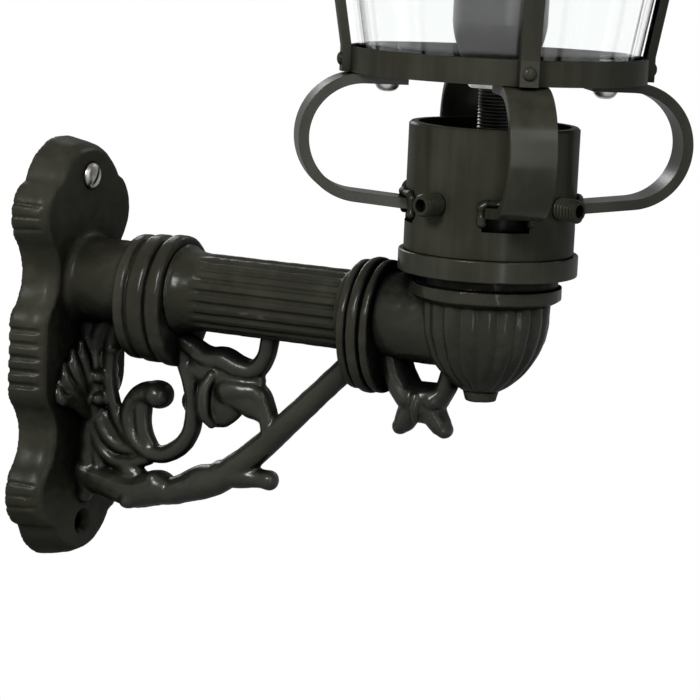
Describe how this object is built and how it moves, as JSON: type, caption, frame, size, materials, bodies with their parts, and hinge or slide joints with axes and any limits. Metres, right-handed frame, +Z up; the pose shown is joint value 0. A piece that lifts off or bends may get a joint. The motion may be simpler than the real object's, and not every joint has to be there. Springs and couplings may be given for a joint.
{
  "type": "wall lantern",
  "caption": "Wall lantern on a scrolled cast bracket: fluted arm, gadrooned cup, strap-legged lantern socket, tapered round glass head and hinged vented canopy.",
  "frame": {"origin": "back face of the wall plate, midway between its two screw holes", "axes": "+X out of the wall along the arm, +Y along the wall, +Z up"},
  "size_m": [0.3325, 0.208, 0.589],
  "materials": {
    "black_paint": "semi-gloss black paint over rough castings",
    "zinc_steel": "zinc plated",
    "brass": "plain",
    "white_plastic": "moulded",
    "black_plastic": "moulded, heat resistant",
    "lamp_cap": "bright",
    "bulb_glass": "opal glass",
    "shade_glass": "clear glass",
    "rubber": "moulded"
  },
  "bodies": {
    "bracket": {"wall_plate": "black_paint", "inner_collar": "black_paint", "fluted_tube": "black_paint", "outer_collar": "black_paint", "elbow_cup": "black_paint", "drain_plug": "black_paint", "conduit": "zinc_steel", "wall_lock_nut": "zinc_steel", "cup_lock_nut": "zinc_steel", "scrollwork": "black_paint", "pendant_leaf": "black_paint", "spigot": "black_paint", "terminal_block": "white_plastic", "earth_screw": "brass"},
    "lantern": {"lantern_socket": "black_paint", "set_screws": "black_paint", "leg_1": "black_paint", "leg_2": "black_paint", "leg_3": "black_paint", "leg_4": "black_paint", "leg_bolts": "zinc_steel", "leg_nuts": "zinc_steel", "base_tray": "black_paint", "cable_tube": "zinc_steel", "stem_nuts": "zinc_steel", "lampholder": "black_plastic", "lamp_cap": "lamp_cap", "lamp_bulb": "bulb_glass", "glass_gasket": "rubber", "glass_shade": "shade_glass", "glass_top_seal": "rubber", "top_ring": "black_paint", "rib_1": "black_paint", "rib_2": "black_paint", "rib_3": "black_paint", "rib_4": "black_paint", "hinge_bracket": "black_paint", "hinge_pin": "zinc_steel", "closing_lug": "black_paint"},
    "canopy": {"canopy": "black_paint", "hinge_leaf": "black_paint", "closing_screw": "brass", "vent_chimney": "black_paint", "vent_cap": "black_paint", "finial": "black_paint"}
  },
  "joints": [
    {"name": "lantern_swivel", "type": "hinge", "parent": "bracket", "child": "lantern", "pos_m": [0.2285, 0, 0.0701], "axis": [0, 0, 1], "range_deg": [-180, 180]},
    {"name": "canopy_hinge", "type": "hinge", "parent": "lantern", "child": "canopy", "pos_m": [0.16455, 0.09133, 0.3388], "axis": [-0.8192, -0.5736, 0], "range_deg": [0, 100]}
  ]
}
